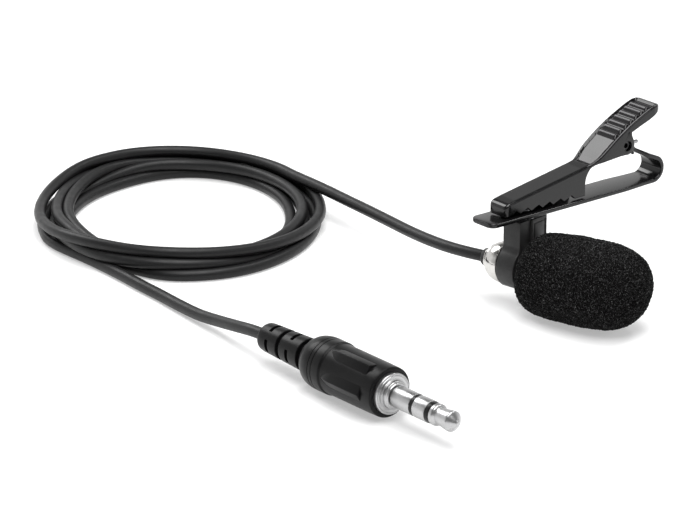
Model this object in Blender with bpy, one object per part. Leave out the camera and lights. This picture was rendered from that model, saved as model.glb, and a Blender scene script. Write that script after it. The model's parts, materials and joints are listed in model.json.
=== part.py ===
"""Lavalier microphone: tie-clip microphone head, coiled lead and 3.5 mm TRS plug.

Metres, +Z up. X runs along the microphone's axis towards the windscreen, Y towards the
clip's handle. The origin lies under the middle of the head and its clip, on the surface
that the windscreen, the coil and the plug rest on.
"""
import math

import bpy
import bmesh
from mathutils import Matrix, Vector

MM = 0.001

# ---- Driving dimensions -------------------------------------------------------------
GAP = 0.3 * MM                  # space kept between touching solids
RUNNING = 0.1 * MM              # radial clearance of a pivot

MIC_X = -10.9 * MM              # rear face of the holder ring
MIC_Y = -10.78 * MM             # microphone axis
AXIS_Z = 6.8 * MM               # height of the microphone axis

RING_WIDTH = 3.5 * MM
RING_R = 3.65 * MM
BARREL_R = 2.75 * MM
BARREL_BORE = 2.25 * MM
BARREL_END = 13.6 * MM
DOME_R = 3.4 * MM
DOME_BASE = -0.9 * MM

FOAM_START = 5.5 * MM
FOAM_LENGTH = 21.0 * MM
FOAM_R = 7.15 * MM
FOAM_LIFT = 0.35 * MM           # the barrel has sunk a little into the foam
FOAM_BORE_END = 15.0 * MM

SWIVEL_X = 1.75 * MM            # swivel axis, from the ring's rear face
SWIVEL_Y = 1.4 * MM             # and from the microphone axis
CLIP_TURN = math.radians(10)    # the clip is turned a little off square
JAW_Z = 15.45 * MM              # underside of the lower jaw

STRIP = 0.7 * MM                # sheet of the lower jaw
STRIP_HALF = 2.8 * MM
JAW_TIP = -9.2 * MM
BEND_S = 25.7 * MM
BEND_R = 2.0 * MM               # centre line of the folded end
ARM_RISE = math.radians(27.7)

SHEET = 0.6 * MM                # sheet of the upper jaw
PIVOT_S = 19.75 * MM            # hinge axis, along the clip from the swivel
PIVOT_H = 7.87 * MM             # and above the lower jaw's underside
PIN_R = 0.85 * MM
EAR_R = 1.45 * MM
LUG_R = 1.25 * MM
TOOTH_PITCH = 2.35 * MM
TOOTH_COUNT = 6

WIRE_R = 0.2 * MM               # spring wire
SPRING_R = 1.2 * MM
SPRING_TURNS = 2.5

CORD_R = 0.975 * MM
COIL_CENTRE = Vector((-76.45, -18.9, 0.0)) * MM
COIL_A = 23.9 * MM              # half axes of the outermost turn's centre line
COIL_B = 26.6 * MM
COIL_HEADING = math.radians(41)
COIL_HEIGHT = 6.0 * MM
COIL_BUILD = 7.0 * MM           # radial depth of the wound turns

PLUG_START = Vector((-23.06, -55.58, 4.4)) * MM
PLUG_HEADING = math.radians(-9.6)
COLLAR_R = 4.4 * MM
BODY_R = 4.05 * MM
RELIEF_LENGTH = 11.1 * MM
SHOULDER = 30.4 * MM            # front face of the plug's flange, from the relief's end
JACK_R = 1.75 * MM

SEGMENTS = 24


# ---- Helpers ------------------------------------------------------------------------
def clear_scene():
    for obj in list(bpy.data.objects):
        bpy.data.objects.remove(obj, do_unlink=True)


def material(name, colour, roughness, metallic=0.0):
    found = bpy.data.materials.get(name)
    if found:
        return found
    made = bpy.data.materials.new(name)
    made.use_nodes = True
    shader = made.node_tree.nodes["Principled BSDF"]
    shader.inputs["Base Color"].default_value = (*colour, 1.0)
    shader.inputs["Roughness"].default_value = roughness
    shader.inputs["Metallic"].default_value = metallic
    return made


FOAM = ("foam", (0.03, 0.03, 0.03), 0.95)
BLACK_PLASTIC = ("black_plastic", (0.035, 0.035, 0.035), 0.5)
BLACK_STEEL = ("black_steel", (0.02, 0.02, 0.02), 0.25, 0.6)
CHROME = ("chrome", (0.8, 0.8, 0.8), 0.12, 1.0)
BRASS = ("brass", (0.75, 0.55, 0.25), 0.3, 1.0)
STEEL = ("steel", (0.55, 0.55, 0.55), 0.3, 1.0)
RUBBER = ("rubber", (0.02, 0.02, 0.02), 0.8)
BOARD = ("board", (0.03, 0.2, 0.08), 0.5)
COPPER_WIRE = ("red_wire", (0.5, 0.05, 0.04), 0.5)
WHITE_WIRE = ("white_wire", (0.8, 0.8, 0.8), 0.5)


def empty(name, place, turn=0.0):
    obj = bpy.data.objects.new(name, None)
    bpy.context.collection.objects.link(obj)
    obj.location = place
    obj.rotation_euler = (0, 0, turn)
    return obj


def add_mesh(name, bm, finish, parent=None, place=(0, 0, 0), smooth_angle=35):
    bmesh.ops.recalc_face_normals(bm, faces=bm.faces[:])
    mesh = bpy.data.meshes.new(name)
    bm.to_mesh(mesh)
    bm.free()
    mesh.shade_smooth()
    mesh.set_sharp_from_angle(angle=math.radians(smooth_angle))
    obj = bpy.data.objects.new(name, mesh)
    bpy.context.collection.objects.link(obj)
    obj.location = place
    if parent:
        obj.parent = parent
    if finish:
        mesh.materials.append(material(*finish))
    return obj


def turned_mesh(outline, segments=SEGMENTS, lift=0.0):
    """Turn a closed outline of (along X, radius) points about X. A radius of 0 is on the axis."""
    bm = bmesh.new()
    rings = []
    for along, radius in outline:
        if radius < 1e-9:
            rings.append([bm.verts.new((along, 0, lift))])
            continue
        ring = []
        for step in range(segments):
            angle = 2 * math.pi * step / segments
            ring.append(bm.verts.new((along, radius * math.cos(angle), lift + radius * math.sin(angle))))
        rings.append(ring)
    for index, first in enumerate(rings):
        second = rings[(index + 1) % len(rings)]
        if len(first) == 1 and len(second) == 1:
            continue
        for step in range(segments):
            after = (step + 1) % segments
            corners = [first[step % len(first)], first[after % len(first)],
                       second[after % len(second)], second[step % len(second)]]
            unique = list(dict.fromkeys(corners))
            bm.faces.new(unique)
    return bm


def turned(name, outline, finish, parent, place=(0, 0, 0), segments=SEGMENTS):
    return add_mesh(name, turned_mesh(outline, segments), finish, parent, place)


def tube_outline(start, end, outer, inner):
    return [(start, inner), (start, outer), (end, outer), (end, inner)]


def box_mesh(low, high):
    bm = bmesh.new()
    bmesh.ops.create_cube(bm, size=1.0)
    middle = (Vector(low) + Vector(high)) / 2
    size = Vector(high) - Vector(low)
    for vert in bm.verts:
        vert.co = Vector(c * s for c, s in zip(vert.co, size)) + middle
    return bm


def extruded_mesh(outline, half_width):
    """Extrude a closed (along Y, up Z) outline to both sides of X by half_width(along)."""
    bm = bmesh.new()
    near = [bm.verts.new((half_width(s), s, z)) for s, z in outline]
    far = [bm.verts.new((-half_width(s), s, z)) for s, z in outline]
    bm.faces.new(near)
    bm.faces.new(far[::-1])
    count = len(outline)
    for index in range(count):
        after = (index + 1) % count
        bm.faces.new([near[index], far[index], far[after], near[after]])
    bmesh.ops.recalc_face_normals(bm, faces=bm.faces[:])
    bmesh.ops.triangulate(bm, faces=bm.faces[:])
    return bm


def cylinder_mesh(radius, start, end, axis, centre=(0, 0, 0), segments=24):
    """A cylinder from start to end along axis ("X" or "Z") through centre."""
    bm = turned_mesh([(start, 0), (start, radius), (end, radius), (end, 0)], segments)
    if axis == "Z":
        bmesh.ops.rotate(bm, verts=bm.verts[:], cent=(0, 0, 0), matrix=Matrix.Rotation(-math.pi / 2, 3, "Y"))
    bmesh.ops.translate(bm, verts=bm.verts[:], vec=centre)
    return bm


def boolean(target, tool, operation):
    tool.hide_render = True
    tool.display_type = "WIRE"
    step = target.modifiers.new(operation.lower(), "BOOLEAN")
    step.operation = operation
    step.solver = "EXACT"
    step.object = tool


def arc(centre, radius, first, last, steps):
    """Points of an arc from angle first to last, in degrees."""
    points = []
    for step in range(steps + 1):
        angle = math.radians(first + (last - first) * step / steps)
        points.append((centre[0] + radius * math.cos(angle), centre[1] + radius * math.sin(angle)))
    return points


def smooth_route(route, spacing):
    """Points spaced evenly along a smooth curve through the route's own points."""
    points = [Vector(p) for p in route]
    ends = [2 * points[0] - points[1]] + points + [2 * points[-1] - points[-2]]
    fine = []
    for index in range(1, len(ends) - 2):
        p0, p1, p2, p3 = ends[index - 1:index + 3]
        for step in range(20):
            t = step / 20
            fine.append(0.5 * (2 * p1 + (p2 - p0) * t + (2 * p0 - 5 * p1 + 4 * p2 - p3) * t * t
                               + (3 * p1 - p0 - 3 * p2 + p3) * t ** 3))
    fine.append(points[-1])
    lengths = [0.0]
    for before, after in zip(fine, fine[1:]):
        lengths.append(lengths[-1] + (after - before).length)
    count = max(2, round(lengths[-1] / spacing))
    even = []
    index = 0
    for step in range(count + 1):
        wanted = lengths[-1] * step / count
        while index < len(fine) - 2 and lengths[index + 1] < wanted:
            index += 1
        share = (wanted - lengths[index]) / (lengths[index + 1] - lengths[index])
        even.append(fine[index].lerp(fine[index + 1], min(1.0, share)))
    return even


def tube(name, points, radius, finish, parent=None, resolution=2):
    """A round tube along points, as a curve with a bevel and filled caps."""
    curve = bpy.data.curves.new(name, "CURVE")
    curve.dimensions = "3D"
    curve.bevel_depth = radius
    curve.bevel_resolution = resolution
    curve.use_fill_caps = True
    spline = curve.splines.new("POLY")
    spline.points.add(len(points) - 1)
    for target, point in zip(spline.points, points):
        target.co = (*point, 1.0)
    obj = bpy.data.objects.new(name, curve)
    bpy.context.collection.objects.link(obj)
    curve.materials.append(material(*finish))
    if parent:
        obj.parent = parent
    return obj


# ---- Microphone head ----------------------------------------------------------------
def foam_radius(share):
    """Radius of the windscreen at a share of its length: a blunt ovoid, open at the back."""
    middle = 0.5
    if share < middle:
        back = (middle - share) / middle
        return FOAM_R * (0.66 + 0.34 * max(0.0, 1 - back ** 2.4) ** (1 / 2.4))
    front = (share - middle) / (1 - middle)
    return FOAM_R * max(0.0, 1 - front ** 2.8) ** (1 / 2.8)


def make_windscreen(frame):
    outline = []
    steps = 16
    for step in range(steps + 1):
        share = 0.5 - 0.5 * math.cos(math.pi * step / steps)
        radius = foam_radius(share) if step < steps else 0.0
        outline.append((FOAM_START + FOAM_LENGTH * share, radius))
    outline.append((FOAM_START, 0))
    foam = add_mesh("foam_windscreen", turned_mesh(outline, 28, FOAM_LIFT), FOAM, frame)
    bore = add_mesh("windscreen_bore", cylinder_mesh(BARREL_R + GAP, FOAM_START - 2 * MM, FOAM_BORE_END, "X"),
                    None, frame)
    boolean(foam, bore, "DIFFERENCE")


def make_barrel(frame):
    collar_r = 3.3 * MM
    collar_start = RING_WIDTH + GAP
    collar_end = FOAM_START - GAP
    turned("mic_housing", [(0.0, BARREL_BORE), (0.0, BARREL_R), (collar_start, BARREL_R),
                           (collar_start, collar_r), (collar_end, collar_r), (collar_end, BARREL_R),
                           (BARREL_END - 0.2 * MM, BARREL_R), (BARREL_END, BARREL_R - 0.2 * MM),
                           (BARREL_END, BARREL_BORE)], BLACK_PLASTIC, frame)
    grille = turned("front_grille", [(12.9 * MM, 0), (12.9 * MM, BARREL_BORE - GAP),
                                     (13.2 * MM, BARREL_BORE - GAP), (13.2 * MM, 0)], STEEL, frame)
    holes = bmesh.new()
    for index in range(7):
        reach = 0 if index == 0 else 1.2 * MM
        angle = math.radians(60 * index)
        place = (0, reach * math.cos(angle), reach * math.sin(angle))
        hole = cylinder_mesh(0.3 * MM, 12 * MM, 14 * MM, "X", place, 8)
        part = bpy.data.meshes.new("hole")
        hole.to_mesh(part)
        hole.free()
        holes.from_mesh(part)
    cutter = add_mesh("grille_holes", holes, None, frame)
    boolean(grille, cutter, "DIFFERENCE")


def make_capsule(frame):
    capsule_r = 1.35 * MM
    port_r = 0.4 * MM
    turned("electret_capsule", [(9.6 * MM, 0), (9.6 * MM, capsule_r), (12.3 * MM, capsule_r),
                                (12.3 * MM, port_r), (12.0 * MM, port_r), (12.0 * MM, 0)], STEEL, frame)
    turned("capsule_boot", tube_outline(9.4 * MM, 12.5 * MM, BARREL_BORE - GAP, capsule_r + 0.25 * MM),
           RUBBER, frame)
    add_mesh("preamp_board", box_mesh((3.4 * MM, -1.6 * MM, -0.9 * MM), (8.6 * MM, 1.6 * MM, -0.4 * MM)),
             BOARD, frame)
    add_mesh("jfet_chip", box_mesh((5.0 * MM, -0.7 * MM, -0.1 * MM), (6.6 * MM, 0.7 * MM, 0.7 * MM)),
             RUBBER, frame)
    for name, side, finish in (("signal_wire", 1, COPPER_WIRE), ("ground_wire", -1, WHITE_WIRE)):
        route = [(0.5 * MM, side * 0.5 * MM, 0), (1.5 * MM, side * 0.9 * MM, 0.15 * MM),
                 (2.8 * MM, side * 1.1 * MM, 0.1 * MM), (4.4 * MM, side * 1.15 * MM, 0.15 * MM)]
        tube(name, smooth_route(route, 0.5 * MM), 0.22 * MM, finish, frame, 1)


def make_rear_dome(frame):
    wall = 0.5 * MM
    hole_r = 1.9 * MM
    spigot_r = BARREL_BORE - GAP
    front = -GAP
    outer = [(front, DOME_R)]
    start = 0.0
    end = math.degrees(math.acos(hole_r / DOME_R))
    for across, reach in arc((0, 0), DOME_R, start, end, 6):
        outer.append((DOME_BASE - reach, across))
    inner = []
    inner_r = DOME_R - wall
    end = math.degrees(math.acos(hole_r / inner_r))
    for across, reach in arc((0, 0), inner_r, end, start, 5):
        inner.append((DOME_BASE - reach, across))
    spigot = [(DOME_BASE, 1.5 * MM), (1.6 * MM, 1.5 * MM), (1.6 * MM, spigot_r), (front, spigot_r)]
    turned("rear_dome", outer + inner + spigot, CHROME, frame)
    grommet_r = hole_r - GAP
    bore = CORD_R + GAP
    turned("cable_grommet", tube_outline(-4.7 * MM, -3.3 * MM, grommet_r, bore), RUBBER, frame, segments=24)
    turned("cable_crimp", tube_outline(-2.6 * MM, -1.3 * MM, 1.75 * MM, bore), BRASS, frame, segments=24)
    turned("cable_tail", [(-4.5 * MM, 0), (-4.5 * MM, CORD_R), (0.2 * MM, CORD_R), (0.2 * MM, 0)],
           RUBBER, frame, segments=16)


# ---- Holder and clip ----------------------------------------------------------------
def make_holder(frame):
    """The ring that grips the barrel and its upright post are one moulding."""
    post_back = -1.8 * MM
    post_front = 4.7 * MM
    post_top = JAW_Z - AXIS_Z - 0.7 * MM
    outline = arc((0, 0), RING_R, 128, 390, 40)
    outline += [(3.75 * MM, 2.45 * MM), (4.4 * MM, 3.1 * MM), (post_front, 3.7 * MM), (post_front, post_top),
                (post_back, post_top), (post_back, 4.4 * MM), (-1.87 * MM, 3.75 * MM), (-2.02 * MM, 3.3 * MM)]
    mesh = extruded_mesh(outline, lambda y: RING_WIDTH / 2)
    bmesh.ops.translate(mesh, verts=mesh.verts[:], vec=(RING_WIDTH / 2, 0, 0))
    ring = add_mesh("holder_ring", mesh, BLACK_PLASTIC, frame)
    bore = add_mesh("holder_bore", cylinder_mesh(BARREL_R + GAP, -2 * MM, 6 * MM, "X", segments=40), None, frame)
    well = add_mesh("rivet_well", cylinder_mesh(1.1 * MM, 5.2 * MM, 12 * MM, "Z",
                                                (SWIVEL_X, SWIVEL_Y, 0)), None, frame)
    boolean(ring, bore, "DIFFERENCE")
    boolean(ring, well, "DIFFERENCE")


def upright(name, outline, finish, parent, segments=24):
    """Turn a closed (up Z, radius) outline about Z."""
    bm = turned_mesh(outline, segments)
    bmesh.ops.rotate(bm, verts=bm.verts[:], cent=(0, 0, 0), matrix=Matrix.Rotation(-math.pi / 2, 3, "Y"))
    return add_mesh(name, bm, finish, parent)


def make_swivel(clip):
    shank_r = 0.8 * MM
    head_r = 1.2 * MM
    head_low = STRIP + 0.1 * MM
    upright("swivel_rivet", [(-3.2 * MM, 0), (-3.2 * MM, shank_r), (head_low, shank_r), (head_low, head_r),
                             (head_low + 0.3 * MM, head_r), (head_low + 0.55 * MM, 0.8 * MM),
                             (head_low + 0.6 * MM, 0)], STEEL, clip)
    upright("rivet_washer", tube_outline(-0.45 * MM, -0.25 * MM, 1.9 * MM, 1.1 * MM), STEEL, clip)


def arm_point(reach):
    """A point on the folded arm's centre line, measured back from the hinge axis."""
    return (PIVOT_S + reach * math.cos(ARM_RISE), PIVOT_H - reach * math.sin(ARM_RISE))


def strip_half_width(along, on_arm):
    if on_arm:
        back = min(1.0, max(0.0, (along - PIVOT_S - 2.6 * MM) / (3.6 * MM)))
        return 1.55 * MM + (STRIP_HALF - 1.55 * MM) * back * back * (3 - 2 * back)
    corner = 1.2 * MM
    from_tip = along - JAW_TIP
    if from_tip >= corner:
        return STRIP_HALF
    return STRIP_HALF - corner + math.sqrt(max(0.0, corner ** 2 - (corner - from_tip) ** 2))


def make_lower_jaw(clip):
    path = []
    for share in (0.02, 0.15, 0.4, 0.7, 1.0):
        path.append((JAW_TIP + 1.2 * MM * share, STRIP / 2, False))
    path.append((0.0, STRIP / 2, False))
    bend_centre = (BEND_S, BEND_R + STRIP / 2)
    last = 90 - math.degrees(ARM_RISE)
    for s, z in arc(bend_centre, BEND_R, -90, last, 12):
        path.append((s, z, True))
    for reach in (6.2, 5.4, 4.6, 3.8, 2.9, 1.9):
        path.append((*arm_point(reach * MM), True))
    bm = bmesh.new()
    sections = []
    for index, (s, z, on_arm) in enumerate(path):
        before = path[max(0, index - 1)]
        after = path[min(len(path) - 1, index + 1)]
        ahead = Vector((after[0] - before[0], after[1] - before[1])).normalized()
        across = Vector((-ahead.y, ahead.x)) * STRIP / 2
        half = strip_half_width(s, on_arm)
        sections.append([bm.verts.new((x, s + side * across.x, z + side * across.y))
                         for x, side in ((-half, -1), (half, -1), (half, 1), (-half, 1))])
    bm.faces.new(sections[0])
    bm.faces.new(sections[-1][::-1])
    for first, second in zip(sections, sections[1:]):
        for corner in range(4):
            after = (corner + 1) % 4
            bm.faces.new([first[corner], second[corner], second[after], first[after]])
    jaw = add_mesh("lower_jaw", bm, BLACK_STEEL, clip)

    pivot_angle = -math.degrees(ARM_RISE)
    for side in (-1, 1):
        end = arm_point(3.4 * MM)
        across = Vector((math.sin(ARM_RISE), math.cos(ARM_RISE))) * (STRIP / 2 - 0.01 * MM)
        outline = arc((PIVOT_S, PIVOT_H), LUG_R, pivot_angle + 60, pivot_angle + 300, 14)
        outline += [(end[0] - across.x, end[1] - across.y), (end[0] + across.x, end[1] + across.y)]
        middle = side * 1.3 * MM
        lug_mesh = extruded_mesh(outline, lambda s: 0.249 * MM)
        bmesh.ops.translate(lug_mesh, verts=lug_mesh.verts[:], vec=(middle, 0, 0))
        name = "lug_left" if side < 0 else "lug_right"
        boolean(jaw, add_mesh(name, lug_mesh, None, clip), "UNION")
    pin_hole = cylinder_mesh(PIN_R + RUNNING, -4 * MM, 4 * MM, "X", (0, PIVOT_S, PIVOT_H))
    boolean(jaw, add_mesh("lug_pin_hole", pin_hole, None, clip), "DIFFERENCE")
    rivet_hole = cylinder_mesh(0.8 * MM + RUNNING, -1 * MM, 2 * MM, "Z")
    boolean(jaw, add_mesh("jaw_rivet_hole", rivet_hole, None, clip), "DIFFERENCE")


def jaw_half_width(along):
    """Half width of the upper jaw: narrow at the teeth, wider over the ears and handle."""
    widths = ((10.5, 2.1), (17.0, 2.45), (21.0, 2.5), (26.5, 2.8))
    place = along / MM
    if place <= widths[0][0]:
        return widths[0][1] * MM
    for (s0, w0), (s1, w1) in zip(widths, widths[1:]):
        if place <= s1:
            return (w0 + (w1 - w0) * (place - s0) / (s1 - s0)) * MM
    return widths[-1][1] * MM


TOP_LINE = [(-5.1, 3.0), (-3.6, 3.4), (10.9, 5.8), (11.9, 6.1), (12.8, 6.55),
            (13.7, 7.1), (15.8, 8.55), (17.4, 9.6), (19.1, 10.65), (21.8, 12.4), (24.4, 13.85)]


def offset_line(points, distance):
    moved = []
    for index, point in enumerate(points):
        before = points[max(0, index - 1)]
        after = points[min(len(points) - 1, index + 1)]
        ahead = Vector((after[0] - before[0], after[1] - before[1])).normalized()
        moved.append((point[0] + ahead.y * distance, point[1] - ahead.x * distance))
    return moved


def make_upper_jaw(clip):
    """The jaw and handle are one folded channel: a top plate with two toothed side flanges."""
    top = [(s * MM, z * MM) for s, z in TOP_LINE]
    nose = [(-5.8 * MM, 1.0 * MM), (-5.8 * MM, 2.1 * MM), (-5.6 * MM, 2.65 * MM)]
    end = [(25.4 * MM, 14.1 * MM), (26.0 * MM, 13.95 * MM), (26.25 * MM, 13.4 * MM), (25.9 * MM, 12.95 * MM),
           (24.1 * MM, 11.85 * MM), (21.9 * MM, 10.5 * MM)]
    ear = arc((PIVOT_S, PIVOT_H), EAR_R, 50, -95, 12)
    under = [(17.5 * MM, 6.3 * MM), (15.4 * MM, 6.2 * MM), (13.7 * MM, 6.0 * MM), (12.2 * MM, 5.5 * MM),
             (11.2 * MM, 4.75 * MM), (10.6 * MM, 3.8 * MM), (10.4 * MM, 2.9 * MM)]
    tip_z = STRIP + GAP
    valley_z = tip_z + 0.65 * MM
    teeth = [(10.4 * MM, tip_z)]
    for tooth in range(TOOTH_COUNT):
        tip = 9.05 * MM - tooth * TOOTH_PITCH
        teeth += [(tip, tip_z), (tip - 0.78 * MM, valley_z)]
    teeth.append((9.05 * MM - TOOTH_COUNT * TOOTH_PITCH, tip_z))
    outline = nose + top + end + ear + under + teeth
    around_hinge = [(s - PIVOT_S, z - PIVOT_H) for s, z in outline]
    jaw = add_mesh("upper_jaw", extruded_mesh(around_hinge, lambda s: jaw_half_width(s + PIVOT_S)),
                   BLACK_STEEL, clip, (0, PIVOT_S, PIVOT_H))

    under_top = offset_line(top, SHEET)
    hollow = [(-5.2 * MM, -1.0 * MM), (-5.2 * MM, 1.9 * MM), (-4.9 * MM, 2.3 * MM)] + under_top[1:]
    hollow += [(25.3 * MM, 13.6 * MM), (25.6 * MM, 13.2 * MM), (28.0 * MM, 11.0 * MM), (28.0 * MM, -1.0 * MM)]
    hollow = [(s - PIVOT_S, z - PIVOT_H) for s, z in hollow]
    cutter = add_mesh("jaw_hollow", extruded_mesh(hollow, lambda s: jaw_half_width(s + PIVOT_S) - SHEET),
                      None, clip, (0, PIVOT_S, PIVOT_H))
    boolean(jaw, cutter, "DIFFERENCE")
    hole = add_mesh("ear_hole", cylinder_mesh(PIN_R + RUNNING, -4 * MM, 4 * MM, "X"), None, clip,
                    (0, PIVOT_S, PIVOT_H))
    boolean(jaw, hole, "DIFFERENCE")


def make_hinge(clip):
    half = 2.5 * MM
    turned("hinge_pin", tube_outline(-half, half, PIN_R, 0.45 * MM), STEEL, clip, (0, PIVOT_S, PIVOT_H), 24)
    points = [Vector((-0.55, 2.8, 1.2)) * MM, Vector((-0.55, 1.4, 1.2)) * MM]
    steps = round(SPRING_TURNS * 16)
    for step in range(steps + 1):
        angle = math.pi / 2 + 2 * math.pi * step / 16
        x = (-0.55 + 1.1 * step / steps) * MM
        points.append(Vector((x, SPRING_R * math.cos(angle), SPRING_R * math.sin(angle))))
    points += [Vector((0.55, 1.3, -1.55)) * MM, Vector((0.55, 3.2, -2.6)) * MM]
    spring = tube("torsion_spring", points, WIRE_R, STEEL, clip, 1)
    spring.location = (0, PIVOT_S, PIVOT_H)


# ---- Cord ---------------------------------------------------------------------------
def head_point(x, y, z):
    """A point given from the ring's rear face and the microphone axis, in millimetres."""
    return Vector((MIC_X + x * MM, MIC_Y + y * MM, z * MM))


MIC_LEAD = [(-4.8, 0.0, 6.8), (-8.0, -0.25, 6.75), (-12.6, 0.15, 6.5), (-18.0, 1.5, 6.1), (-24.0, 3.4, 5.75),
            (-30.2, 5.6, 5.5), (-36.5, 7.7, 5.35), (-42.8, 9.75, 5.2), (-50.4, 12.1, 5.2)]
PLUG_LEAD = [(-54.2, -34.7, 1.0), (-46.0, -36.45, 1.0), (-42.2, -37.15, 1.0), (-36.9, -38.3, 1.15), (-31.4, -39.6, 1.5),
             (-25.8, -41.1, 2.3), (-20.1, -42.9, 3.4), (-16.0, -44.0, 4.1), (-12.4, -44.76, 4.4)]


def make_leads():
    """The two free stretches of the cord; the coil between them is one closed ring."""
    for name, route in (("mic_lead", MIC_LEAD), ("plug_lead", PLUG_LEAD)):
        points = [head_point(*place) for place in route]
        tube(name, smooth_route(points, 4.5 * MM), CORD_R, RUBBER)


def make_coil():
    """One closed ring of the coil's outer shape, following its slightly oval winding."""
    rows = [(1.0 * MM, 0.0), (1.15 * MM, 3.2 * MM), (-0.9 * MM, COIL_HEIGHT), (-3.4 * MM, COIL_HEIGHT),
            (1.0 * MM - COIL_BUILD, 3.0 * MM), (1.0 * MM - COIL_BUILD, 0.0)]
    bm = bmesh.new()
    count = 48
    sections = []
    for step in range(count):
        angle = 2 * math.pi * step / count
        section = []
        for out, height in rows:
            flat = Vector(((COIL_A + out) * math.cos(angle), (COIL_B + out) * math.sin(angle), height))
            section.append(bm.verts.new(flat))
        sections.append(section)
    for index, first in enumerate(sections):
        second = sections[(index + 1) % count]
        for corner in range(len(rows)):
            after = (corner + 1) % len(rows)
            bm.faces.new([first[corner], second[corner], second[after], first[after]])
    coil = add_mesh("cable_coil", bm, RUBBER)
    coil.location = COIL_CENTRE
    coil.rotation_euler = (0, 0, COIL_HEADING)


# ---- Plug ---------------------------------------------------------------------------
def make_strain_relief(plug):
    """Tapered relief cut by two full grooves and, between them, shorter side slots."""
    bore = CORD_R + GAP
    back_r = 2.2 * MM
    front_r = 2.75 * MM
    groove_depth = 0.55 * MM
    outline = [(0.0, bore), (0.0, back_r - 0.4 * MM), (0.4 * MM, back_r)]
    for start, end in ((5.0, 5.6), (10.2, 10.8)):
        radius = back_r + (front_r - back_r) * start * MM / RELIEF_LENGTH
        outline += [(start * MM, radius), (start * MM, radius - groove_depth), (end * MM, radius - groove_depth),
                    (end * MM, radius)]
    outline += [(RELIEF_LENGTH, front_r), (RELIEF_LENGTH, bore)]
    relief = turned("strain_relief", outline, RUBBER, plug, segments=24)
    slots = bmesh.new()
    for start, upright_slot in ((2.3, True), (7.5, True), (2.3, False), (7.5, False)):
        for side in (-1, 1):
            low = 1.55 * MM
            if upright_slot:
                corners = ((start * MM, -1.3 * MM, side * low), ((start + 0.5) * MM, 1.3 * MM, side * 4 * MM))
            else:
                corners = ((start * MM, side * low, -1.0 * MM), ((start + 0.5) * MM, side * 4 * MM, 1.0 * MM))
            low_corner = [min(a, b) for a, b in zip(*corners)]
            high_corner = [max(a, b) for a, b in zip(*corners)]
            part = bpy.data.meshes.new("slot")
            cube = box_mesh(low_corner, high_corner)
            cube.to_mesh(part)
            cube.free()
            slots.from_mesh(part)
    boolean(relief, add_mesh("relief_slots", slots, None, plug), "DIFFERENCE")


def make_plug_body(plug):
    start = RELIEF_LENGTH + GAP
    end = SHOULDER - 0.6 * MM - GAP
    bore = 2.9 * MM
    body = turned("plug_body", [(start, bore), (start, 3.0 * MM), (start + 0.35 * MM, 3.55 * MM),
                                (start + 1.2 * MM, 4.1 * MM), (start + 2.2 * MM, COLLAR_R),
                                (start + 4.2 * MM, COLLAR_R), (start + 4.9 * MM, BODY_R),
                                (end - 0.5 * MM, BODY_R), (end, BODY_R - 0.45 * MM), (end, bore)],
                  BLACK_PLASTIC, plug, segments=40)
    flat = box_mesh((start + 8.2 * MM, -2.45 * MM, 3.3 * MM), (end - 2.1 * MM, 2.45 * MM, 3.9 * MM))
    bmesh.ops.rotate(flat, verts=flat.verts[:], cent=(0, 0, 0), matrix=Matrix.Rotation(math.radians(58), 3, "X"))
    boolean(body, add_mesh("raised_flat", flat, None, plug), "UNION")
    turned("plug_inner_mould", tube_outline(13.0 * MM, 21.0 * MM, bore - GAP, 1.5 * MM), RUBBER, plug,
           segments=24)
    turned("plug_cable_tail", [(0.3 * MM, 0), (0.3 * MM, CORD_R), (16.0 * MM, CORD_R), (16.0 * MM, 0)],
           RUBBER, plug, segments=16)
    signal = [(16.3 * MM, 0.5 * MM, 0), (18.5 * MM, 0.8 * MM, 0), (21.0 * MM, 0.85 * MM, 0), (22.7 * MM, 0.75 * MM, 0)]
    ground = [(16.3 * MM, -0.5 * MM, 0), (18.5 * MM, -0.8 * MM, 0), (21.0 * MM, -0.9 * MM, 0),
              (23.9 * MM, -1.6 * MM, 0)]
    tube("plug_signal_wire", smooth_route(signal, 0.8 * MM), 0.25 * MM, COPPER_WIRE, plug, 1)
    tube("plug_ground_wire", smooth_route(ground, 0.8 * MM), 0.25 * MM, WHITE_WIRE, plug, 1)


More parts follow.
